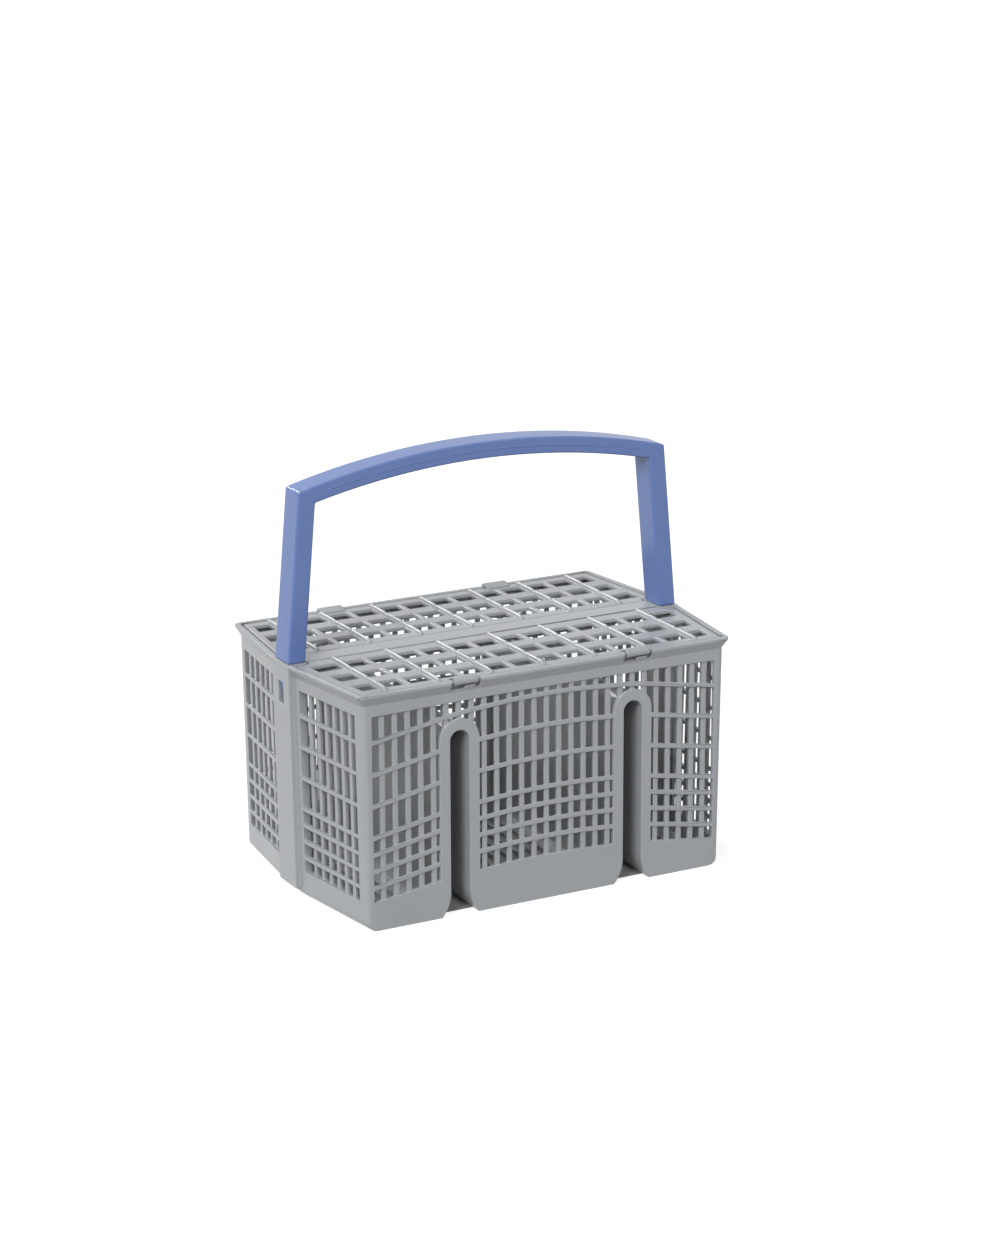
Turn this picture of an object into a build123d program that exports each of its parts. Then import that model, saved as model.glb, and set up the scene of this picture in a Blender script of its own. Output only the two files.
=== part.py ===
"""Dishwasher cutlery rack: a one-piece moulded basket with barred walls, two hinged lid
grids and a clip-in carrying handle. Millimetres, +Z up, X along the long walls, the front
wall at -Y, and the origin under the middle of the basket on the surface it stands on."""
from build123d import *
import os
from math import asin, cos, pi, sin, sqrt

# Basket, measured over the rim
basket_length = 229.8        # corner to corner along the rim
basket_depth = 159.8         # front rim to rear rim
rim_top = 134.0
end_bulge = 8.2              # how far each bowed end stands out beyond its corners
end_draft = 2.0              # how far each end leans in at the floor
bottom_round = 6.5           # rounding under each end
floor_thickness = 2.6

# Rim, which stands round the lids
rim_height = 1.6             # upright outer edge
flare_height = 5.0           # from the walls out to that edge
rim_overhang = 2.6           # proud of the walls
rim_wall = 3.2
seat_depth = 2.7             # lid seat below the top of the rim

# Long walls: upright bars inside, arched rungs outside
wall = 2.6
rung_proud = 0.8             # rungs and frames stand this far out from the bars
column_pitch = 7.7
bar_width = 3.1
corner_frame = 6.0           # plain strip beside each corner
window_bottom = 16.3         # lowest edge of the windows at the corners
window_top = 121.0
bottom_rise = 9.2            # arch of the lowest edge at mid length
top_rise = 1.3
rung_rise = 12.0
rung_height = 2.7
lowest_rung = 24.5
short_row_pitch = 9.5
short_rows = 3
tall_row_pitch = 17.8
tall_rows = 3

# End walls: two barred panels each side of the post that holds the handle
end_bar_depth = 2.0
end_rung_height = 2.2
end_rung_depth_post = 2.9    # depth of a rung in front of the bars, beside the post
end_rung_depth_corner = 0.7
post_width = 21.0
post_outer_wall = 3.6        # in front of the handle's pocket
post_bottom = 5.5
post_inner_wall = 2.4
panel_margin = 4.6           # plain strip beside the post
end_corner_frame = 7.6
end_columns = 7              # windows side by side in a panel

# Channels that straddle the tines of the dish rack, open below
channel_spacing = 107.8
channel_width = 11.5
channel_top = 105.8
channel_wall = 2.0
channel_frame = 6.4          # smooth band round each mouth
mouth_flare = 5.5
mouth_height = 14.0

# Drain slots in the floor
drain_width = 4.6
drain_margin = 8.0           # plain floor round each group of slots

# Centre beam between the lids
beam_width = 12.5
beam_seat_width = 3.4        # ledge each side for a lid edge
beam_seat_thickness = 2.4

# Lid grids
lid_gap = 1.3                # groove between lid and rim
lid_beam_gap = 1.5
lid_lift = 0.2               # resting clearance over the seat
lid_thickness = 2.3
lid_rib_height = 1.3         # cross ribs lie on the flat bars
lid_rib_width = 3.2
cell_pitch_x = 16.0
cell_pitch_y = 20.8
lid_bar_width = 9.3          # flat bars between the rows of cells
lid_border = 6.4             # from the outer long edge to the first row of cells
lid_inner_border = 8.15      # from the last row of cells to the inner edge
lid_end_border = 4.0
arm_clearance = 1.0          # lid notch round the arms

# Lid hinges: a clip on the lid turns on a pin across a gap in the rim
hinge_spacing = 106.6
hinge_offset = 2.5           # the pair of hinges sits off the middle
hinge_inset = 2.4            # axis in from the outside of the rim
hinge_drop = 0.4             # axis below the top of the rim
pin_radius = 1.2
pin_clearance = 0.25
clip_radius = 2.4
clip_clearance = 0.35
clip_width = 14.4
clip_sides = 8
clip_tab = 3.2               # from the axis in over the edge of the lid
clip_mouth = 1.9
hinge_gap = 17.6
wide_slot = 8.6              # slots in the rim under the two ends of a clip
narrow_slot = 2.8
slot_depth = 1.8

# Handle
handle_height = 244.0        # top of the bow above the floor
arm_depth = 17.2             # front to back
arm_thickness = 10.6
arm_outset = 1.9             # outside of an arm beyond the bowed end, at the rim
arm_lean = 8.4               # how far the arms lean in at the shoulder
bow_rise = 15.0              # from the shoulders to the top of the bow
bow_inner_rise = 12.4
bow_height = 9.6             # section of the bow at mid length
tongue_length = 28.0
tongue_thickness = 4.6
tongue_width = 11.0
tongue_clearance = 0.3       # all round in the pocket
snap_window_width = 6.0
snap_window_height = 12.4
snap_window_drop = 11.2      # window top below the top of the rim
hook_reach = 3.2
hook_clearance = 0.4

# Worked out from the sizes above
seat_z = rim_top - seat_depth
rim_low = rim_top - rim_height
half_length = basket_length / 2 - rim_overhang
half_depth = basket_depth / 2 - rim_overhang
inner_depth = half_depth - wall
bar_face = half_depth - rung_proud
field_half = half_length - corner_frame
post_half = post_width / 2
arm_reach = half_length + end_bulge + arm_outset
shoulder_height = handle_height - bow_rise
panel_start = post_half + panel_margin
panel_stop = half_depth - end_corner_frame
hinge_y = basket_depth / 2 - hinge_inset
hinge_z = rim_top - hinge_drop
hinge_centres = (hinge_offset - hinge_spacing / 2, hinge_offset + hinge_spacing / 2)
clip_room = clip_radius + clip_clearance
frame_half = channel_width / 2 + channel_frame
tongue_outer = arm_reach - (arm_thickness - tongue_thickness) / 2
pocket_outer = tongue_outer + tongue_clearance
post_face = pocket_outer + post_outer_wall
pocket_inner = tongue_outer - tongue_thickness - tongue_clearance
post_back = pocket_inner - post_inner_wall
lid_low = seat_z + lid_lift
lid_high = lid_low + lid_thickness
channel_centres = (-channel_spacing / 2, channel_spacing / 2)
rungs = [lowest_rung + row * short_row_pitch for row in range(short_rows + 1)]
rungs += [rungs[-1] + row * tall_row_pitch for row in range(1, tall_rows + 1)]
overlap = 10.0               # the two halves of the basket reach past the middle and fuse
flare_sink = 0.2             # the foot of the rim's flare lies inside the walls


def end_x(y, corner_x, corner_y):
    """X of a circle through both corners and the bulge of an end, at a given y."""
    radius = (corner_y ** 2 + end_bulge ** 2) / (2 * end_bulge)
    return corner_x + end_bulge - radius + sqrt(radius ** 2 - y ** 2)


def panel_x(y):
    """X of the two flat faces of an end, which fall back from the post to the corners."""
    near = end_x(post_half, half_length, half_depth)
    return near + (half_length - near) * (abs(y) - post_half) / (half_depth - post_half)


def bar_x(y):
    """X of the outer face of the end bars, which the rungs stand out from most beside the post."""
    share = (abs(y) - panel_start) / (panel_stop - panel_start)
    return panel_x(y) - end_rung_depth_post + (end_rung_depth_post - end_rung_depth_corner) * share


def lean(z):
    """Inward shift of an end at height z."""
    return -end_draft * (1 - z / seat_z)


def leaning(plan, low, high):
    """A plan raised from low to high along the leaning end."""
    run = Vector(lean(high) - lean(low), 0, high - low)
    return extrude(Pos(lean(low), 0, low) * plan, amount=run.length, dir=run.normalized())


def upright(plan, low, high):
    """A plan raised straight up from low to high."""
    return extrude(Pos(0, 0, low) * plan, amount=high - low)


def both_ends(shapes):
    """The shapes of the right end and their mirror images at the left end."""
    return [*shapes, *(mirror(shape, about=Plane.YZ) for shape in shapes)]


def both_sides(shapes):
    """The shapes of the rear and their mirror images at the front."""
    return [*shapes, *(mirror(shape, about=Plane.XZ) for shape in shapes)]


def turned(shapes):
    """The shapes of the front and the same shapes turned half round, at the rear."""
    return [*shapes, *(Rot(0, 0, 180) * shape for shape in shapes)]


def box_between(low, high):
    """A box from its lowest to its highest corner."""
    size = [b - a for a, b in zip(low, high)]
    return Pos(*low) * Box(*size, align=(Align.MIN, Align.MIN, Align.MIN))


def arch(half, end_z, rise):
    """Points along a shallow arch over the wall: straight runs between the channel frames,
    and shorter ones in the middle bay."""
    marks = [0, (channel_spacing / 2 - frame_half) / 2, channel_spacing / 2 - frame_half / 2]
    marks += [channel_spacing / 2 + frame_half / 2, half]
    marks = [-x for x in marks[:0:-1]] + marks
    return [(x, end_z + rise * (1 - (x / half) ** 2)) for x in marks]


def arched_band(half, low, low_rise, high, high_rise):
    """A wall outline between two arches, which have their ends at low and high."""
    return make_face(Polyline(*arch(half, low, low_rise), *arch(half, high, high_rise)[::-1], close=True))


def channel_outline(width, top, flare):
    """Upside-down U with a mouth that widens in two arcs at the floor."""
    half = width / 2
    radius = (mouth_height ** 2 + flare ** 2) / (2 * flare)
    turn = asin(mouth_height / radius) / 2
    middle = (half + radius * (1 - cos(turn)), mouth_height - radius * sin(turn))
    crown = ThreePointArc((-half, top - half), (0, top), (half, top - half))
    right = Line((half, top - half), (half, mouth_height))
    right_mouth = ThreePointArc((half, mouth_height), middle, (half + flare, 0))
    floor = Line((half + flare, 0), (-half - flare, 0))
    left_mouth = ThreePointArc((-half - flare, 0), (-middle[0], middle[1]), (-half, mouth_height))
    left = Line((-half, mouth_height), (-half, top - half))
    return make_face([crown, right, right_mouth, floor, left_mouth, left])


def wall_sheet(sketch, outside, inside):
    """A front-wall sketch given thickness between two distances from the middle."""
    return extrude(Plane.XZ.offset(outside) * sketch, amount=-(outside - inside))


def end_plan(reach, corner_y, post_x, corner_x):
    """Right half of a plan whose end is flat across the post and falls back to the corners."""
    return make_face(Polyline((-reach, -corner_y), (corner_x, -corner_y), (post_x, -post_half),
                              (post_x, post_half), (corner_x, corner_y), (-reach, corner_y), close=True))


def rim_x(y, inset):
    """X of the rim's end, or of an outline inside it, at a given y."""
    return panel_x(y) + rim_overhang - inset


def rim_plan(inset):
    """Right half of the rim's outline from above, or of an outline inside it."""
    corner_y = basket_depth / 2 - inset
    return end_plan(overlap, corner_y, rim_x(post_half, inset), rim_x(corner_y, inset))


def rim():
    """Ring round the lids, which flares out from the walls."""
    foot = rim_plan(rim_overhang + flare_sink)
    flare = loft([Pos(0, 0, rim_low - flare_height) * foot, Pos(0, 0, rim_low) * rim_plan(0)], ruled=True)
    ring = Part() + both_ends([flare, upright(rim_plan(0), rim_low, rim_top)])
    return ring - both_ends([upright(rim_plan(rim_wall), seat_z, rim_top)])


def shell():
    """Floor and plain walls, rounded under the ends."""
    outer = end_plan(overlap, half_depth, panel_x(post_half), half_length)
    half = leaning(outer, 0, seat_z)
    under = half.edges().group_by(Axis.Z)[0].sort_by(Axis.X)[-3:]
    half = fillet(under, bottom_round)
    inner = end_plan(overlap, inner_depth, bar_x(post_half) - end_bar_depth,
                     bar_x(inner_depth) - end_bar_depth)
    cavity = leaning(inner, floor_thickness, rim_top)
    return Part() + both_ends([half]) + rim() - both_ends([cavity])


def channels():
    """Walls of the two channels, front to back."""
    outline = channel_outline(channel_width + 2 * channel_wall, channel_top + channel_wall, mouth_flare)
    return [wall_sheet(Pos(x, 0) * outline, inner_depth, -inner_depth) for x in channel_centres]


def channel_cuts():
    """The open space of the two channels."""
    outline = channel_outline(channel_width, channel_top, mouth_flare)
    return [wall_sheet(Pos(x, 0) * outline, basket_depth, -basket_depth) for x in channel_centres]


def long_wall_cuts():
    """What is cut from the front wall: rows between the rungs, then columns between the bars."""
    field = arched_band(field_half, window_bottom, bottom_rise, window_top, top_rise)
    frame = channel_outline(2 * frame_half, channel_top + channel_frame, mouth_flare)
    for x in channel_centres:
        field -= Pos(x, 0) * frame
    rows = field
    for z in rungs:
        rows -= arched_band(field_half, z - rung_height / 2, rung_rise, z + rung_height / 2, rung_rise)
    count = int((2 * field_half + bar_width) // column_pitch)
    window = Rectangle(column_pitch - bar_width, 2 * rim_top)
    strips = Sketch() + [Pos((column - (count - 1) / 2) * column_pitch, 0) * window
                         for column in range(count)]
    columns = field & strips
    return [wall_sheet(rows, half_depth, bar_face), wall_sheet(columns, bar_face, inner_depth)]


def end_wall_cuts():
    """What is cut from the rear half of the right end: rows outside the bars and columns between
    them."""
    def strip(outside, inside):
        """Plan of a cut along the panel between two surfaces."""
        return make_face(Polyline((outside(panel_start), panel_start), (outside(panel_stop), panel_stop),
                                  (inside(panel_stop), panel_stop), (inside(panel_start), panel_start),
                                  close=True))

    lows = [window_bottom, *(z + end_rung_height / 2 for z in rungs)]
    highs = [*(z - end_rung_height / 2 for z in rungs), window_top]
    rows = [leaning(strip(lambda y: panel_x(y) + end_bulge, bar_x), low, high)
            for low, high in zip(lows, highs)]
    pitch = (panel_stop - panel_start + bar_width) / end_columns
    nears = [panel_start + column * pitch for column in range(end_columns)]
    columns = []
    for near in nears:
        away = near + pitch - bar_width
        plan = make_face(Polyline((bar_x(near), near), (bar_x(away), away),
                                  (bar_x(away) - 2 * end_bar_depth, away),
                                  (bar_x(near) - 2 * end_bar_depth, near), close=True))
        columns.append(leaning(plan, window_bottom, window_top))
    return [*rows, *columns]


def post():
    """Post in the middle of the right end, with the pocket and snap window for the handle."""
    plan = make_face(Polyline((post_back, -post_half), (post_face, -post_half), (post_face, post_half),
                              (post_back, post_half), close=True))
    column = leaning(plan, post_bottom, rim_low) + upright(plan, rim_low, rim_top)
    pocket_half = tongue_width / 2 + tongue_clearance
    pocket = box_between((pocket_inner, -pocket_half, rim_top - tongue_length - tongue_clearance),
                         (pocket_outer, pocket_half, rim_top))
    window_high = rim_top - snap_window_drop
    window = box_between((pocket_outer, -snap_window_width / 2, window_high - snap_window_height),
                         (post_face + post_outer_wall, snap_window_width / 2, window_high))
    return column, [pocket, window]


def beam():
    """Centre beam between the posts, with a ledge each side for the lids' inner edges."""
    low = seat_z - beam_seat_thickness
    ledge_half = beam_width / 2 + beam_seat_width + lid_beam_gap
    return [box_between((-post_back, -beam_width / 2, low), (post_back, beam_width / 2, rim_top)),
            box_between((-post_back, -ledge_half, low), (post_back, ledge_half, seat_z))]


def drains():
    """Long drain slots across the depth in each compartment's floor."""
    end = bar_x(inner_depth) - end_bar_depth - end_draft
    beside_channel = channel_width / 2 + channel_wall + mouth_flare
    marks = [-end, *(x + side * beside_channel for x in channel_centres for side in (-1, 1)), end]
    slot = Box(drain_width, 2 * (inner_depth - drain_margin), 3 * floor_thickness)
    slots = []
    for low, high in zip(marks[::2], marks[1::2]):
        count = int((high - low - drain_margin) // column_pitch)
        slots += [Pos((low + high) / 2 + (column - (count - 1) / 2) * column_pitch, 0, 0) * slot
                  for column in range(count)]
    return slots


def along_hinge(section, centre, length):
    """A section, drawn with y inward and z up, along the front hinge axis."""
    start = Plane(origin=(centre - length / 2, -hinge_y, hinge_z), x_dir=(0, 1, 0), z_dir=(1, 0, 0))
    return extrude(start * section, amount=length)


def hinge_gaps():
    """Gaps in the front rim round the two pins, with slots under the ends of the clips."""
    cuts = []
    inside = clip_room - hinge_y
    for centre in hinge_centres:
        left = centre - hinge_gap / 2
        right = centre + hinge_gap / 2
        floor = hinge_z - clip_room
        cuts.append(box_between((left, -basket_depth, floor), (right, inside, 2 * rim_top)))
        for low, high in ((left, left + wide_slot), (right - narrow_slot, right)):
            cuts.append(box_between((low, -basket_depth, floor - slot_depth), (high, inside, floor)))
    return cuts


def many_sided(radius):
    """Section of a hinge pin or of the outside of a clip."""
    return RegularPolygon(radius, clip_sides, rotation=180 / clip_sides)


def hinge_pins():
    return [along_hinge(many_sided(pin_radius), centre, hinge_gap) for centre in hinge_centres]


def basket_body():
    """The whole moulding."""
    column, pocket_cuts = post()
    body = shell() + [*channels(), *beam(), *both_ends([column])]
    body -= both_sides(long_wall_cuts())
    body -= both_ends(both_sides(end_wall_cuts()))
    body -= [*channel_cuts(), *drains(), *both_ends(pocket_cuts)]
    body -= turned(hinge_gaps())
    return body + turned(hinge_pins())


def clip(centre):
    """Clip of the front lid at a hinge: a many-sided ring on a tab, open below for the pin."""
    tab_low = lid_low - hinge_z
    top = clip_radius * cos(pi / clip_sides)
    tab = make_face(Polyline((0, 0), (0, top), (clip_tab, top), (clip_tab, tab_low), (-tab_low, tab_low),
                             close=True))
    mouth = Pos(0, -clip_radius) * Rectangle(clip_mouth, 2 * clip_radius)
    section = many_sided(clip_radius) + tab - Circle(pin_radius + pin_clearance) - mouth
    return along_hinge(section, centre, clip_width)


def lid():
    """Front lid: flat bars along the length, ribs lying across them, and clips round the hinge pins."""
    inset = rim_wall + lid_gap
    corner_y = basket_depth / 2 - inset
    inner_edge = beam_width / 2 + lid_beam_gap
    plate = Part() + both_ends([upright(rim_plan(inset), lid_low, lid_high)])
    plate -= box_between((-basket_length, -inner_edge, 0), (basket_length, basket_depth, 2 * rim_top))
    arm_inner = min(arm_reach - arm_thickness, post_back) - arm_clearance
    arm_half = max(arm_depth, post_width) / 2 + arm_clearance
    plate -= both_ends([box_between((arm_inner, -arm_half, 0), (basket_length, arm_half, 2 * rim_top))])
    room = corner_y - lid_border - inner_edge - lid_inner_border + lid_bar_width
    rows = round(room / cell_pitch_y)
    columns = 2 * int((rim_x(corner_y, inset) - lid_end_border) // cell_pitch_x) + 2
    for row in range(rows):
        outer = corner_y - lid_border - row * room / rows
        inner = outer + lid_bar_width - room / rows
        end = rim_x(outer, inset) - lid_end_border
        plate -= box_between((-end, -outer, 0), (end, -inner, 2 * rim_top))
    for column in range(1, columns):
        x = (column - columns / 2) * cell_pitch_x
        plate += box_between((x - lid_rib_width / 2, -corner_y + lid_border / 2, lid_high),
                             (x + lid_rib_width / 2, -inner_edge - lid_beam_gap, lid_high + lid_rib_height))
    return plate + [clip(centre) for centre in hinge_centres]


def handle():
    """Bow and two leaning arms in one outline, with a snap tongue under each arm."""
    shoulder_x = arm_reach - arm_lean
    inner_x = arm_reach - arm_thickness
    inner_shoulder = handle_height - bow_height - bow_inner_rise
    slope = arm_lean / (shoulder_height - rim_top)
    inner_top_x = inner_x - slope * (inner_shoulder - rim_top)
    outer_bow = ThreePointArc((-shoulder_x, shoulder_height), (0, handle_height), (shoulder_x, shoulder_height))
    inner_bow = ThreePointArc((inner_top_x, inner_shoulder), (0, handle_height - bow_height),
                              (-inner_top_x, inner_shoulder))
    right = Polyline((shoulder_x, shoulder_height), (arm_reach, rim_top), (inner_x, rim_top),
                     (inner_top_x, inner_shoulder))
    left = Polyline((-inner_top_x, inner_shoulder), (-inner_x, rim_top), (-arm_reach, rim_top),
                    (-shoulder_x, shoulder_height))
    bow = wall_sheet(make_face([outer_bow, *right.edges(), inner_bow, *left.edges()]),
                     arm_depth / 2, -arm_depth / 2)
    tongue = box_between((tongue_outer - tongue_thickness, -tongue_width / 2, rim_top - tongue_length),
                         (tongue_outer, tongue_width / 2, rim_top))
    hook_high = rim_top - snap_window_drop - hook_clearance
    hook_half = snap_window_width / 2 - hook_clearance
    hook_side = Polyline((0, hook_high), (hook_reach, hook_high),
                         (0, hook_high - snap_window_height + 2 * hook_clearance), close=True)
    hook = wall_sheet(Pos(tongue_outer, 0) * make_face(hook_side), hook_half, -hook_half)
    return bow + both_ends([tongue, hook])


os.makedirs("parts", exist_ok=True)
front_lid = lid()
nodes = {
    "basket_body": basket_body(),
    "handle": handle(),
    "front_lid": front_lid,
    "rear_lid": Rot(0, 0, 180) * front_lid,
}
for name, shape in nodes.items():
    export_step(shape, f"parts/{name}.step")
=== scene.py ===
"""Looks of the dishwasher cutlery rack: moulded grey basket and lid grids, satin blue handle.

Every size is in metres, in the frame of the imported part: +Z up, +X along the long walls, the
front wall at -Y and the origin under the middle of the basket.
"""
from math import cos, radians, sin

import bmesh
import bpy
import numpy as np
from mathutils import Matrix, Vector


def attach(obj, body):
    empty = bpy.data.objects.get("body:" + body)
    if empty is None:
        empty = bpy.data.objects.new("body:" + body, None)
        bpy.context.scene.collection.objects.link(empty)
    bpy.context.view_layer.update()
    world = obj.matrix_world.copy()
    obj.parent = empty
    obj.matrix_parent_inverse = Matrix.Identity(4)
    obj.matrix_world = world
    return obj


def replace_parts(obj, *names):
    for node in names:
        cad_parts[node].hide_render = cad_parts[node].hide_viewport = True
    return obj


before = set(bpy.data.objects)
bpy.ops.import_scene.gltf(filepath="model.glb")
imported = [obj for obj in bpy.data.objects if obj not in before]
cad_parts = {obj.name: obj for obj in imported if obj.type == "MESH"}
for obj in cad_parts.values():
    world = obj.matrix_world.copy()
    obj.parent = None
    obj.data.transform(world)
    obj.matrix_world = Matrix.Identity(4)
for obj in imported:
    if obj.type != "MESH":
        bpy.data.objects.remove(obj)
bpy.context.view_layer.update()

bl_info = {
    "name": "Cutlery rack looks",
    "version": (1, 0, 0),
    "blender": (4, 5, 0),
    "location": "View3D > Sidebar > Rack",
    "description": "Rounds, dresses and lights the cutlery rack",
    "category": "Object",
}

MM = 0.001

# Upright corners of the basket, from the rounding under its ends up to the rim
CORNER_LEVELS = np.array([6.4, 127.76, 132.4, 134.0]) * MM      # heights up a corner
CORNER_END = np.array([118.85, 120.69, 123.33, 123.33]) * MM    # from the middle to an end's plane
CORNER_SIDE = np.array([77.3, 77.3, 79.9, 79.9]) * MM           # from the middle to the front
END_NORMAL = (0.99282, 0.11963)                                 # outwards from an end, by a corner
CORNER_ZONE = np.array([104.0, 70.0]) * MM                      # the corners lie beyond these
CORNER_CUTS = 13

# Lid grids as the front one lies; the rear one is the same turned half round
LID_TOP = 133.8 * MM
LID_THICKNESS = 2.3 * MM
LID_LINES_Y = np.array([-75.4, -69.0, -57.5, -48.2, -36.7, -27.4, -15.9, -11.5, -7.75]) * MM
LID_CELL_ROWS = (1, 3, 5)    # open rows between those lines
LID_BARS_Y = np.array([-52.85, -32.05]) * MM
LID_END_BORDER = 4.0 * MM
LID_END_X = 118.45 * MM      # a lid's end beside the arm
LID_END_START = 10.5 * MM
LID_END_FALL = 0.1205        # the end falls back by this share of the way out to the corner
ARM_NOTCH_X = 110.8 * MM
ARM_NOTCH_Y = 12.0 * MM

# Ribs over the lid grids; every second one is raised
RIB_PITCH = 16.0 * MM
RIB_REACH = 6                # ribs each side of the middle one
LOW_RIB_WIDTH = 3.2 * MM
RAISED_RIB_Y = np.array([-74.2, -8.6]) * MM
RIB_RINGS = 121
RIB_POINTS = 16              # points round a rib's oval
RIB_DIP = 0.4                # share of its height that a rib loses where it crosses a bar
RIB_DIP_REACH = 0.8 * MM
RIB_END_POWER = 24           # the higher, the later a rib's height falls towards its ends
RIB_END_LEAST = 0.01

# Clips of the lids, rolled over the hinge pins
HINGE_Y = -77.5 * MM
HINGE_Z = 133.6 * MM
HINGE_X = np.array([-50.8, 55.8]) * MM
CLIP_WIDTH = 14.4 * MM
CLIP_STEPS = np.array([-1, -0.4, 0.4, 1])   # rings along a clip, as shares of half its width
CLIP_RADIUS = 1.9 * MM
CLIP_TURN = (72, 238)        # degrees round the pin, from the lid's side over the top
CLIP_TURN_POINTS = 20
CLIP_RAMP = 5.6 * MM         # from the pin's axis to the foot of the ramp
CLIP_RAMP_POINTS = 6
CLIP_LIFT = 0.1 * MM         # the foot's middle over the lid
CLIP_THICKNESS = 1.0 * MM
CLIP_EDGE = 0.25 * MM

# Bow of the handle and its parting lines
BOW_FACE_Y = 8.6 * MM
BOW_OUTER = (114.0 * MM, 15.0 * MM, 244.0 * MM)     # half span, rise and top of the upper arc
BOW_INNER = (104.0 * MM, 12.4 * MM, 234.4 * MM)     # the same of the lower arc
SEAM_HALF = 97.0 * MM
SEAM_RINGS = 97
SEAM_POINTS = 8
SEAM_SECTION = (0.2 * MM, 0.45 * MM)                # half depth and half height
SEAM_SINK = 0.02 * MM

# How the triangles of the solids are merged, cut and joined before their edges are rounded
MERGE_REACH = 0.002 * MM
SLIVER = 0.12 * MM
CUT_REACH = 0.0005 * MM
FLAT_ANGLE = radians(0.4)
JOINED_SHAPE = radians(170)
SHARP_ANGLE = radians(26)

# Moulded polypropylene
POLYPROPYLENE_IOR = 1.49
FLOW_CLOUD = 24 * MM
GRAIN_SPAN = (0.3, 0.7)      # values of the grain that the sheen follows
SHEEN_SPREAD = 0.02
GRAIN_STRENGTH = 0.35

# Card on the floor: what is added to look white, and the rectangle under the rack that gets none of it
# and stays dark, as painted shade
FLOOR_HALF = 4.0
CARD_COLOUR = "#a0a0a0"
CARD_GLOW = 0.8
# half sizes of the painted shade: inside this rectangle under the rack the card gets no glow
PAINTED_SHADE_HALF = {"X": 104.0 * MM, "Y": 70.0 * MM}

# Lamps: name, property of the level, width in degrees and the side that it shines from
LAMPS = (
    ("rear", "rear_light", 10, (-0.12, 0.84, 0.53)),
    ("left_rear", "left_rear_light", 28, (-0.69, 0.47, 0.55)),
    ("right_top", "top_light", 10, (0.45, -0.25, 0.86)),
    ("front", "front_light", 28, (-0.11, -0.83, 0.55)),
    ("left_front", "left_light", 28, (-0.7, -0.46, 0.55)),
)

# Photograph's frame in pixels, with the optical centre and focal length found for it
FRAME_HEIGHT_PX = 1250.0
FRAME_WIDTH_PX = 1000.0
OPTICAL_CENTRE_PX = (540.35, 660.23)
FOCAL_PX = 3521.4
SENSOR_MM = 36.0


class RackFinish(bpy.types.PropertyGroup):
    """Colours and edge rounding of the mouldings."""

    grey: bpy.props.StringProperty(
        name="Grey", description="sRGB hex of the basket and lids", default="#999c9f")
    blue: bpy.props.StringProperty(
        name="Blue", description="sRGB hex of the handle", default="#5b73aa")
    basket_edge: bpy.props.FloatProperty(
        name="Basket edge", description="Rounding of the basket's edges", default=0.35 * MM,
        unit="LENGTH", precision=5)
    corner_round: bpy.props.FloatProperty(
        name="Corner", description="Rounding of the basket's upright corners", default=3.2 * MM,
        unit="LENGTH", precision=5)
    lid_edge: bpy.props.FloatProperty(
        name="Lid edge", description="Rounding of the lid grids' edges", default=0.5 * MM,
        unit="LENGTH", precision=5)
    rib_width: bpy.props.FloatProperty(
        name="Rib width", description="Width of the raised lid ribs", default=2.6 * MM,
        unit="LENGTH", precision=5)
    rib_height: bpy.props.FloatProperty(
        name="Rib height", description="Height of the raised lid ribs over the bars", default=1.8 * MM,
        unit="LENGTH", precision=5)
    handle_edge: bpy.props.FloatProperty(
        name="Handle edge", description="Rounding of the handle's edges", default=1.1 * MM,
        unit="LENGTH", precision=5)


class RackStage(bpy.types.PropertyGroup):
    """Camera place and light levels."""

    azimuth: bpy.props.FloatProperty(
        name="Azimuth", description="Direction that the camera looks in, from +Y towards +X",
        default=radians(29.1), subtype="ANGLE")
    elevation: bpy.props.FloatProperty(
        name="Elevation", description="Camera's tilt below the horizon", default=radians(16.99),
        subtype="ANGLE")
    camera_place: bpy.props.FloatVectorProperty(
        name="Camera", description="Camera's place", default=(-0.8886, -1.6657, 0.6931),
        subtype="XYZ")
    ambient: bpy.props.FloatProperty(
        name="Ambient", description="Strength of the even studio light", default=0.08)
    rear_light: bpy.props.FloatProperty(
        name="Rear light", description="Strength of the light that picks out the ribs", default=1.3)
    left_rear_light: bpy.props.FloatProperty(
        name="Left rear light", description="Strength of the soft light from the left rear", default=0.95)
    top_light: bpy.props.FloatProperty(
        name="Top light", description="Strength of the light from above on the right", default=0.25)
    left_light: bpy.props.FloatProperty(
        name="Left light", description="Strength of the soft light from the left front", default=2.1)
    front_light: bpy.props.FloatProperty(
        name="Front light", description="Strength of the soft light from the front", default=1.2)


def srgb(text):
    """Linear RGBA of an sRGB hex colour: each channel c is c/12.92 when small, else a 2.4 power."""
    channels = np.array([int(text[i:i + 2], 16) for i in (1, 3, 5)]) / 255
    linear = np.where(channels <= 0.04045, channels / 12.92, ((channels + 0.055) / 1.055) ** 2.4)
    return (*linear, 1.0)


def add_node(tree, kind, settings=None, **links):
    """Adds a node, sets its attributes and inputs, and links the inputs given as sockets. An
    input is named with _ for each space, or as i and its number."""
    node = tree.nodes.new(kind)
    for name, value in (settings or {}).items():
        setattr(node, name, value)
    for name, value in links.items():
        key = int(name[1:]) if name[0] == "i" and name[1:].isdigit() else name.replace("_", " ")
        if isinstance(value, bpy.types.NodeSocket):
            tree.links.new(value, node.inputs[key])
        else:
            node.inputs[key].default_value = value
    return node


def new_material(name):
    """A new material and its empty node tree."""
    material = bpy.data.materials.new(name)
    material.use_nodes = True
    material.node_tree.nodes.clear()
    return material, material.node_tree


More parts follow.
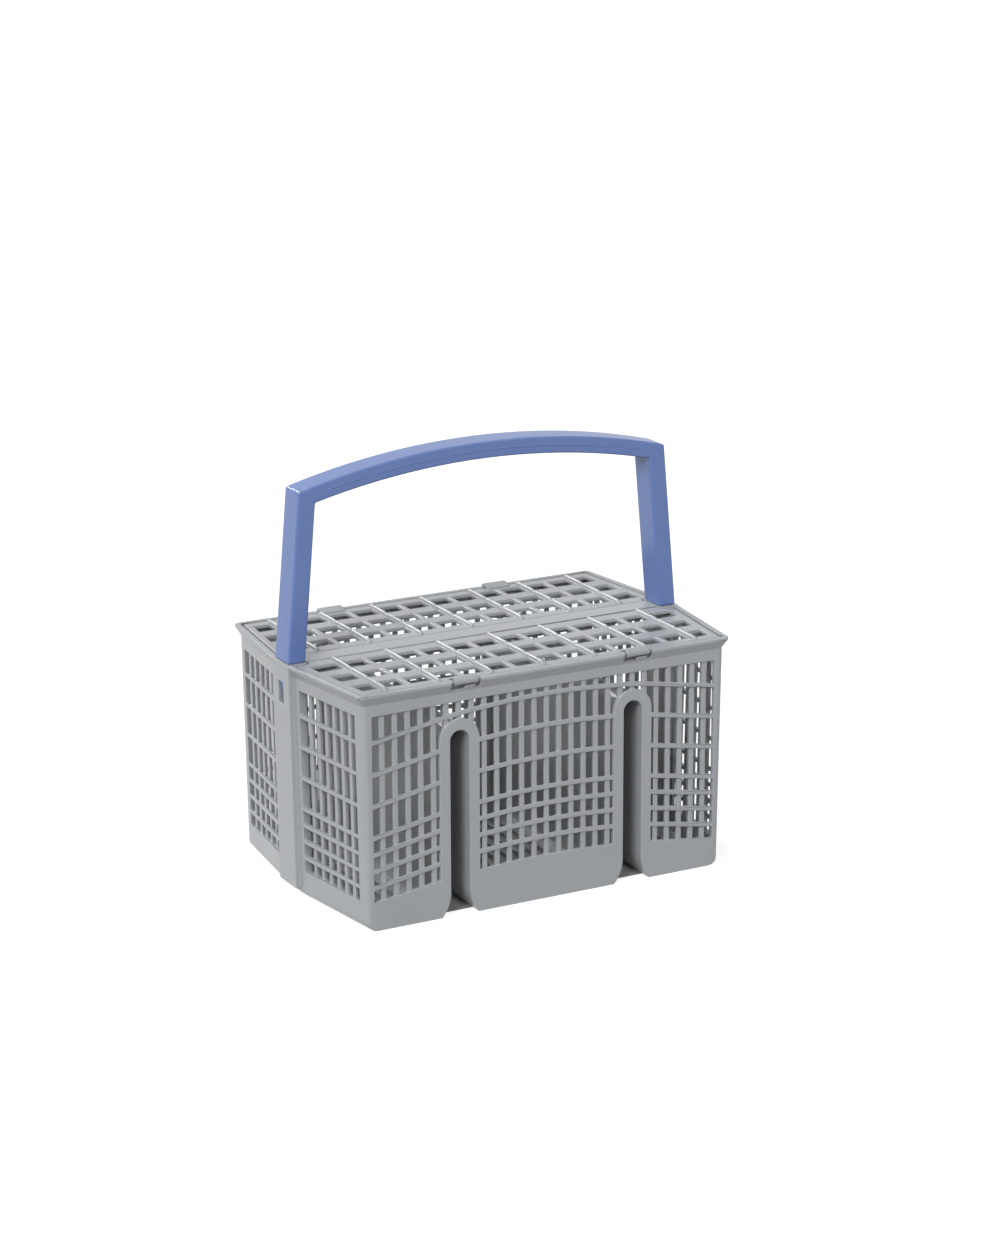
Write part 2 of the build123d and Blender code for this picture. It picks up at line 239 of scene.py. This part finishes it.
def moulded_polypropylene(name, colour, shade, rough, grain, depth):
    """Moulded polypropylene: even colour with faint flow clouding a few centimetres across, and a
    fine spark-eroded grain that breaks up the sheen. The real grain, about 0.1 mm, is too fine to
    show, so it is drawn at the width given as grain."""
    material, tree = new_material(name)
    place = add_node(tree, "ShaderNodeTexCoord").outputs["Object"]
    cloud = add_node(tree, "ShaderNodeTexNoise", Vector=place, Scale=1 / FLOW_CLOUD, Detail=3.0,
                     Roughness=0.55)
    pits = add_node(tree, "ShaderNodeTexNoise", Vector=place, Scale=1 / grain, Detail=2.0)
    tint = add_node(tree, "ShaderNodeMix", {"data_type": "RGBA"}, Factor=cloud.outputs["Fac"],
                    i6=srgb(colour), i7=srgb(shade))
    sheen = add_node(tree, "ShaderNodeMapRange", Value=pits.outputs["Fac"], From_Min=GRAIN_SPAN[0],
                     From_Max=GRAIN_SPAN[1], To_Min=rough - SHEEN_SPREAD, To_Max=rough + SHEEN_SPREAD)
    bump = add_node(tree, "ShaderNodeBump", Height=pits.outputs["Fac"], Strength=GRAIN_STRENGTH,
                    Distance=depth)
    shader = add_node(tree, "ShaderNodeBsdfPrincipled", Base_Color=tint.outputs[2],
                      IOR=POLYPROPYLENE_IOR, Roughness=sheen.outputs["Result"],
                      Normal=bump.outputs["Normal"])
    add_node(tree, "ShaderNodeOutputMaterial", Surface=shader.outputs["BSDF"])
    return material


def finish_of():
    """The colours and roundings that the user has set."""
    return bpy.context.scene.rack_finish


def grey_moulding():
    """The basket's and lids' shared material, made once."""
    name = "grey_moulded_polypropylene"
    return bpy.data.materials.get(name) or moulded_polypropylene(
        name, finish_of().grey, shade="#9fa2a5", rough=0.34, grain=0.9 * MM, depth=0.006 * MM)


def blue_moulding():
    """The handle's material, made once."""
    name = "blue_satin_polypropylene"
    return bpy.data.materials.get(name) or moulded_polypropylene(
        name, finish_of().blue, shade="#6179b0", rough=0.3, grain=0.8 * MM, depth=0.0008 * MM)


def place_piece(obj, body, material):
    """Gives a new piece its finish and puts it on its body."""
    bpy.context.scene.collection.objects.link(obj)
    obj.data.materials.clear()
    obj.data.materials.append(material)
    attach(obj, body)
    return obj


def round_edges(obj, edge, segments):
    """Rounds the edges of a piece and keeps its flat faces flat."""
    for face in obj.data.polygons:
        face.use_smooth = True
    bevel = obj.modifiers.new("rounded_edges", "BEVEL")
    bevel.width = edge
    bevel.segments = segments
    bevel.limit_method = "ANGLE"
    bevel.angle_limit = SHARP_ANGLE
    bevel.use_clamp_overlap = False
    bevel.miter_outer = "MITER_SHARP"
    shading = obj.modifiers.new("flat_faces", "WEIGHTED_NORMAL")
    shading.keep_sharp = True
    return obj


def merged_copy(node):
    """A copy of a solid's mesh with its corners merged and its slivers taken out."""
    work = bmesh.new()
    work.from_mesh(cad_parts[node].data)
    bmesh.ops.remove_doubles(work, verts=work.verts, dist=MERGE_REACH)
    bmesh.ops.dissolve_degenerate(work, dist=SLIVER, edges=work.edges)
    return work


def join_flat(work, kept):
    """Joins the flat facets of a copy in pairs, except the faces in kept."""
    bmesh.ops.join_triangles(work, faces=[face for face in work.faces if face not in kept],
                             angle_face_threshold=FLAT_ANGLE, angle_shape_threshold=JOINED_SHAPE)


def made_object(work, name):
    """An object of a worked copy, with no edge left marked as sharp."""
    for edge in work.edges:
        edge.smooth = True
    mesh = bpy.data.meshes.new(name)
    work.to_mesh(mesh)
    work.free()
    return bpy.data.objects.new(name, mesh)


def corner_faces(work):
    """Cuts the copy beside its upright corners and gives the faces of the corners."""
    for axis, reach in enumerate(CORNER_ZONE):
        for way in (-1, 1):
            line = Vector((0, 0, 0))
            line[axis] = way
            bmesh.ops.bisect_plane(work, geom=work.verts[:] + work.edges[:] + work.faces[:],
                                   dist=CUT_REACH, plane_co=line * reach, plane_no=line)
    middles = np.array([face.calc_center_median() for face in work.faces])
    beyond = (np.abs(middles[:, :2]) > CORNER_ZONE).all(axis=1)
    return {face for face, chosen in zip(work.faces, beyond) if chosen}


def round_corners(work, corners, radius):
    """Rounds the four upright corners of the basket. The faces of each one are cut by upright
    planes that fan out from the circle's centre line. With a and b the way from that line towards
    the end and the side, points with a, b > 0 and a^2 + b^2 > r^2 are drawn in to the circle. At
    each height the line lies r inside the planes of the end and the side, which the levels give."""
    for end, side in ((-1, -1), (1, -1), (-1, 1), (1, 1)):
        outward = np.array([[end * END_NORMAL[0], side * END_NORMAL[1]], [0, side]])
        centre = np.linalg.solve(outward, np.array([CORNER_END[:2].mean(), CORNER_SIDE[0]]) - radius)
        near = [face for face in corners if face.is_valid
                and end * face.verts[0].co.x > 0 and side * face.verts[0].co.y > 0]
        for angle in np.linspace(0, np.pi / 2, CORNER_CUTS):
            along = np.cos(angle) * outward[0] + np.sin(angle) * outward[1]
            parts = {part for face in near for part in (face, *face.edges, *face.verts)}
            cut = bmesh.ops.bisect_plane(work, geom=list(parts), dist=CUT_REACH,
                                         plane_co=(*centre, 0), plane_no=(-along[1], along[0], 0))
            near = [part for part in cut["geom"] if isinstance(part, bmesh.types.BMFace)]
        verts = list({vert for face in near for vert in face.verts})
        points = np.array([vert.co for vert in verts])
        level = np.stack([np.interp(points[:, 2], CORNER_LEVELS, CORNER_END),
                          np.interp(points[:, 2], CORNER_LEVELS, CORNER_SIDE)], axis=-1) - radius
        way = points[:, :2] @ outward.T - level
        length = np.linalg.norm(way, axis=1)
        moved = (way.min(axis=1) > 0) & (length > radius)
        way[moved] *= (radius / length[moved])[:, None]
        placed = np.linalg.solve(outward, (level + way).T).T
        for i in np.flatnonzero(moved):
            verts[i].co.xy = placed[i]


def tube_object(name, rings):
    """Closed tubes from an array (tubes, rings along, points round, 3): neighbouring rings are
    joined by quads, and each end ring is capped."""
    tubes, along, around, _ = rings.shape
    index = np.arange(tubes * along * around).reshape(tubes, along, around)
    beside = np.roll(index, -1, axis=2)
    quads = np.stack([index[:, :-1], beside[:, :-1], beside[:, 1:], index[:, 1:]], axis=-1)
    caps = np.concatenate([index[:, 0], index[:, -1]])
    mesh = bpy.data.meshes.new(name)
    mesh.from_pydata(rings.reshape(-1, 3).tolist(), [], quads.reshape(-1, 4).tolist() + caps.tolist())
    work = bmesh.new()
    work.from_mesh(mesh)
    bmesh.ops.recalc_face_normals(work, faces=work.faces)
    work.to_mesh(mesh)
    work.free()
    mesh.shade_smooth()
    return bpy.data.objects.new(name, mesh)


def lid_sheet(name, turn):
    """Flat grid of a lid: a sheet over lines along X and Y, with the cells between the ribs left
    open. Its first and last lines follow the lid's ends, where x = end - fall * (way out to the
    corner), and a border inside them. turn is +1 in front and -1 half round, at the rear."""
    centres = RIB_PITCH * np.arange(-RIB_REACH, RIB_REACH + 1)
    sides = (centres[:, None] + LOW_RIB_WIDTH / 2 * np.array([-1, 1])).ravel()
    y = LID_LINES_Y
    end = LID_END_X - LID_END_FALL * np.maximum(-y - LID_END_START, 0)
    border = np.where(-y < ARM_NOTCH_Y, ARM_NOTCH_X, end - LID_END_BORDER)
    x = np.vstack([-end, -border, np.repeat(sides[:, None], len(y), axis=1), border, end])
    points = np.stack([turn * x, np.broadcast_to(turn * y, x.shape), np.full(x.shape, LID_TOP)], axis=-1)
    index = np.arange(x.size).reshape(x.shape)
    quads = np.stack([index[:-1, :-1], index[1:, :-1], index[1:, 1:], index[:-1, 1:]], axis=-1)
    kept = np.ones(quads.shape[:2], bool)
    kept[np.ix_(np.arange(1, len(x) - 1, 2), LID_CELL_ROWS)] = False
    kept[[0, -1], -1] = False
    used, faces = np.unique(quads[kept], return_inverse=True)
    mesh = bpy.data.meshes.new(name)
    mesh.from_pydata(points.reshape(-1, 3)[used].tolist(), [], faces.reshape(-1, 4).tolist())
    obj = bpy.data.objects.new(name, mesh)
    thick = obj.modifiers.new("plate", "SOLIDIFY")
    thick.thickness = LID_THICKNESS
    thick.offset = -1
    return obj


def lid_ribs(name, turn, width, height):
    """Every second rib, raised over the bars: an oval section x = w/2 cos v, z = h sin v, carried
    along Y. Its height falls off at both ends and dips where it crosses a bar."""
    centres = 2 * RIB_PITCH * np.arange(-RIB_REACH // 2, RIB_REACH // 2 + 1)
    share = np.linspace(-1, 1, RIB_RINGS)
    y = RAISED_RIB_Y.mean() + share * np.ptp(RAISED_RIB_Y) / 2
    dip = np.exp(-((y[:, None] - LID_BARS_Y) / RIB_DIP_REACH) ** 2).sum(axis=1)
    rise = (1 - RIB_DIP * dip) * np.sqrt(np.maximum(1 - share ** RIB_END_POWER, RIB_END_LEAST))
    round_angle = np.linspace(0, 2 * np.pi, RIB_POINTS, endpoint=False)
    across = width / 2 * np.cos(round_angle)
    up = height * np.sin(round_angle)
    shape = (len(centres), len(y), len(round_angle))
    x = np.broadcast_to(centres[:, None, None] + across, shape)
    z = np.broadcast_to(LID_TOP + rise[:, None] * up, shape)
    rings = np.stack([turn * x, np.broadcast_to(turn * y[:, None], shape), z], axis=-1)
    return tube_object(name, rings)


def hinge_clips(name, turn):
    """Clips that roll over the hinge pins: a thin strip along a ramp up from the lid and an arc
    y = r cos v, z = r sin v round the pin's axis, carried along X."""
    angle = np.radians(np.linspace(*CLIP_TURN, CLIP_TURN_POINTS))
    arc = np.stack([HINGE_Y + CLIP_RADIUS * np.cos(angle),
                    HINGE_Z + CLIP_RADIUS * np.sin(angle)], axis=-1)
    ramp = np.linspace([HINGE_Y + CLIP_RAMP, LID_TOP + CLIP_LIFT], arc[0], CLIP_RAMP_POINTS)[:-1]
    path = np.concatenate([ramp, arc])
    run = np.gradient(path, axis=0)
    run /= np.linalg.norm(run, axis=1, keepdims=True)
    out = np.stack([run[:, 1], -run[:, 0]], axis=-1) * CLIP_THICKNESS / 2
    section = np.concatenate([path + out, (path - out)[::-1]])
    along = CLIP_WIDTH / 2 * CLIP_STEPS
    shape = (len(HINGE_X), len(along), len(section))
    x = np.broadcast_to((HINGE_X[:, None] + along)[:, :, None], shape)
    y = np.broadcast_to(section[:, 0], shape)
    z = np.broadcast_to(section[:, 1], shape)
    return tube_object(name, np.stack([turn * x, turn * y, z], axis=-1))


def bow_seams(name):
    """Fine parting lines along the bow's front and back: a flat oval section carried along the
    curve midway between the bow's two arcs, each z = top - r + sqrt(r^2 - x^2)."""
    x = np.linspace(-SEAM_HALF, SEAM_HALF, SEAM_RINGS)
    heights = []
    for half, rise, top in (BOW_OUTER, BOW_INNER):
        radius = (half ** 2 + rise ** 2) / (2 * rise)
        heights.append(top - radius + np.sqrt(radius ** 2 - x ** 2))
    middle = (heights[0] + heights[1]) / 2
    round_angle = np.linspace(0, 2 * np.pi, SEAM_POINTS, endpoint=False)
    side = np.array([-1, 1])[:, None, None]
    shape = (2, len(x), len(round_angle))
    across = side * (BOW_FACE_Y - SEAM_SINK) + SEAM_SECTION[0] * np.cos(round_angle)
    y = np.broadcast_to(across, shape)
    z = np.broadcast_to(middle[:, None] + SEAM_SECTION[1] * np.sin(round_angle), shape)
    return tube_object(name, np.stack([np.broadcast_to(x[:, None], shape), y, z], axis=-1))


class RACK_OT_basket(bpy.types.Operator):
    """Rounds the moulded basket's corners, rim and edges and gives it its grey finish"""
    bl_idname = "rack.basket"
    bl_label = "Basket"

    def execute(self, context):
        finish = finish_of()
        work = merged_copy("basket_body")
        corners = corner_faces(work)
        join_flat(work, corners)
        round_corners(work, corners, finish.corner_round)
        piece = round_edges(made_object(work, "basket_moulding"), finish.basket_edge, segments=2)
        place_piece(piece, "rack", grey_moulding())
        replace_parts(piece, "basket_body")
        return {"FINISHED"}


class RACK_OT_lids(bpy.types.Operator):
    """Builds the two lid grids with their raised ribs and hinge clips, in the grey finish"""
    bl_idname = "rack.lids"
    bl_label = "Lid grids"

    def execute(self, context):
        finish = finish_of()
        for node, turn in (("front_lid", 1), ("rear_lid", -1)):
            grid = round_edges(lid_sheet(node + "_grid", turn), finish.lid_edge, segments=2)
            ribs = lid_ribs(node + "_ribs", turn, finish.rib_width, finish.rib_height)
            clips = round_edges(hinge_clips(node + "_clips", turn), CLIP_EDGE, segments=2)
            for piece in (grid, ribs, clips):
                place_piece(piece, node, grey_moulding())
            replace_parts(grid, node)
        return {"FINISHED"}


class RACK_OT_handle(bpy.types.Operator):
    """Rounds the handle's edges, adds its parting lines and gives it its blue finish"""
    bl_idname = "rack.handle"
    bl_label = "Handle"

    def execute(self, context):
        work = merged_copy("handle")
        join_flat(work, set())
        piece = round_edges(made_object(work, "bow_handle"), finish_of().handle_edge, segments=3)
        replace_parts(place_piece(piece, "rack", blue_moulding()), "handle")
        place_piece(bow_seams("bow_seams"), "rack", blue_moulding())
        return {"FINISHED"}


def pale_floor(size):
    """A wide flat floor, as the four corners of a grid; the white surroundings go on beyond it."""
    x, y = np.meshgrid([-size, size], [-size, size], indexing="ij")
    points = np.stack([x, y, np.zeros_like(x)], axis=-1).reshape(-1, 3)
    mesh = bpy.data.meshes.new("pale_floor")
    mesh.from_pydata(points.tolist(), [], [(0, 2, 3, 1)])
    return bpy.data.objects.new("pale_floor", mesh)


def seen_rays(tree):
    """One where the camera sees a surface, itself or in gloss or glass, and nought elsewhere."""
    path = add_node(tree, "ShaderNodeLightPath")
    seen = add_node(tree, "ShaderNodeMath", {"operation": "MAXIMUM"},
                    i0=path.outputs["Is Camera Ray"], i1=path.outputs["Is Glossy Ray"])
    seen = add_node(tree, "ShaderNodeMath", {"operation": "MAXIMUM"}, i0=seen.outputs[0],
                    i1=path.outputs["Is Transmission Ray"])
    return seen.outputs[0]


def white_card_with_painted_shade():
    """Matt white card: it takes the rack's shadow, and a glow makes it look white to the camera and in
    gloss, except in a rectangle under the rack, which gets no glow and stays darker as painted shade."""
    material, tree = new_material("studio_white_card")
    place = add_node(tree, "ShaderNodeTexCoord")
    side = add_node(tree, "ShaderNodeSeparateXYZ", Vector=place.outputs["Object"])
    share = []
    for axis, half in PAINTED_SHADE_HALF.items():
        away = add_node(tree, "ShaderNodeMath", {"operation": "ABSOLUTE"}, i0=side.outputs[axis])
        share.append(add_node(tree, "ShaderNodeMath", {"operation": "DIVIDE"}, i0=away.outputs[0],
                              i1=half))
    clear = add_node(tree, "ShaderNodeMath", {"operation": "MAXIMUM"}, i0=share[0].outputs[0],
                     i1=share[1].outputs[0])
    # glow only outside the rectangle under the rack; inside it the card is left darker as painted shade
    clear = add_node(tree, "ShaderNodeMath", {"operation": "GREATER_THAN"}, i0=clear.outputs[0], i1=1.0)
    lift = add_node(tree, "ShaderNodeMath", {"operation": "MULTIPLY"}, i0=clear.outputs[0], i1=CARD_GLOW)
    glow = add_node(tree, "ShaderNodeMath", {"operation": "MULTIPLY"}, i0=seen_rays(tree),
                    i1=lift.outputs[0])
    card = add_node(tree, "ShaderNodeBsdfDiffuse", Color=srgb(CARD_COLOUR))
    light = add_node(tree, "ShaderNodeEmission", Strength=glow.outputs[0])
    both = add_node(tree, "ShaderNodeAddShader", i0=card.outputs[0], i1=light.outputs[0])
    add_node(tree, "ShaderNodeOutputMaterial", Surface=both.outputs[0])
    return material


def soft_sun(name, strength, width, side):
    """A wide soft lamp, even over the whole stage, that shines from the given side."""
    lamp = bpy.data.lights.new(name, "SUN")
    lamp.energy = strength
    lamp.angle = radians(width)
    obj = bpy.data.objects.new(name, lamp)
    obj.rotation_euler = Vector(side).to_track_quat("Z", "Y").to_euler()
    bpy.context.scene.collection.objects.link(obj)
    return obj


class RACK_OT_stage(bpy.types.Operator):
    """Adds the pale floor, soft lamps, even light and the camera"""
    bl_idname = "rack.stage"
    bl_label = "Stage"

    def execute(self, context):
        scene = context.scene
        stage = scene.rack_stage
        floor = pale_floor(FLOOR_HALF)
        scene.collection.objects.link(floor)
        floor.data.materials.append(white_card_with_painted_shade())

        world = bpy.data.worlds.new("even_studio")
        scene.world = world
        world.use_nodes = True
        tree = world.node_tree
        tree.nodes.clear()
        strength = add_node(tree, "ShaderNodeMix", {"data_type": "FLOAT"}, Factor=seen_rays(tree),
                            i2=stage.ambient, i3=1.0)
        sky = add_node(tree, "ShaderNodeBackground", Color=(1, 1, 1, 1), Strength=strength.outputs[0])
        add_node(tree, "ShaderNodeOutputWorld", Surface=sky.outputs[0])

        for name, level, width, side in LAMPS:
            soft_sun(name, getattr(stage, level), width, side)

        turn, tilt = stage.azimuth, stage.elevation
        forward = Vector((sin(turn) * cos(tilt), cos(turn) * cos(tilt), -sin(tilt)))
        right = Vector((cos(turn), -sin(turn), 0))
        up = right.cross(forward)
        lens = bpy.data.cameras.new("photo_camera")
        lens.sensor_width = SENSOR_MM
        lens.lens = SENSOR_MM * FOCAL_PX / FRAME_HEIGHT_PX
        lens.shift_x = (FRAME_WIDTH_PX / 2 - OPTICAL_CENTRE_PX[0]) / FRAME_HEIGHT_PX
        lens.shift_y = (OPTICAL_CENTRE_PX[1] - FRAME_HEIGHT_PX / 2) / FRAME_HEIGHT_PX
        camera = bpy.data.objects.new("photo_camera", lens)
        camera.matrix_world = Matrix.Translation(stage.camera_place) @ Matrix(
            (right, up, -forward)).transposed().to_4x4()
        scene.collection.objects.link(camera)
        scene.camera = camera
        scene.view_settings.view_transform = "Standard"
        return {"FINISHED"}


class RACK_PT_looks(bpy.types.Panel):
    """Lists the rack's pieces and its stage"""
    bl_idname = "RACK_PT_looks"
    bl_label = "Cutlery rack"
    bl_space_type = "VIEW_3D"
    bl_region_type = "UI"
    bl_category = "Rack"

    def draw(self, context):
        for group in (context.scene.rack_finish, context.scene.rack_stage):
            for name in group.__annotations__:
                self.layout.prop(group, name)
        for step in STEPS:
            self.layout.operator(step.bl_idname)


STEPS = (RACK_OT_basket, RACK_OT_lids, RACK_OT_handle, RACK_OT_stage)
CLASSES = (RackFinish, RackStage, *STEPS, RACK_PT_looks)


def register():
    for cls in CLASSES:
        bpy.utils.register_class(cls)
    bpy.types.Scene.rack_finish = bpy.props.PointerProperty(type=RackFinish)
    bpy.types.Scene.rack_stage = bpy.props.PointerProperty(type=RackStage)


def unregister():
    del bpy.types.Scene.rack_stage
    del bpy.types.Scene.rack_finish
    for cls in reversed(CLASSES):
        bpy.utils.unregister_class(cls)


def main():
    register()
    bpy.ops.rack.basket()
    bpy.ops.rack.lids()
    bpy.ops.rack.handle()
    bpy.ops.rack.stage()
    bpy.context.view_layer.update()


if __name__ == "__main__":
    main()
